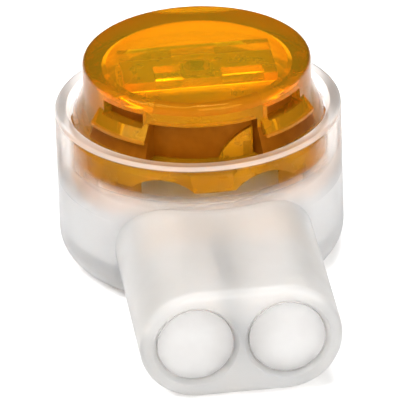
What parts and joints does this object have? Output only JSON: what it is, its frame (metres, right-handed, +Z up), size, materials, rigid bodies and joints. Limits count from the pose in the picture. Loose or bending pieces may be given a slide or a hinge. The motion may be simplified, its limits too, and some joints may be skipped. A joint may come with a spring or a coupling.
{
  "type": "push-button wire splice connector",
  "caption": "Clear butt splice for two small insulated wires, with a raised amber button that presses a slotted contact onto them.",
  "frame": {"origin": "centre of the barrel's flat base", "axes": "+Z up along the button's travel, -Y out of the snout with the wire ports, +X to the right seen from the ports"},
  "size_m": [0.01, 0.016, 0.0075],
  "materials": {
    "body": "translucent natural polypropylene, glossy",
    "button": "translucent amber, glossy",
    "contact": "tin plated, satin",
    "gel": "clear sealant gel"
  },
  "bodies": {
    "housing": {"body_shell": "body", "sealant_gel": "gel"},
    "plunger": {"button": "button", "contact": "contact"}
  },
  "joints": [
    {"name": "button_press", "type": "slide", "parent": "housing", "child": "plunger", "axis": [0, 0, -1], "range_m": [0, 0.0018], "deforming": ["sealant_gel"]}
  ]
}
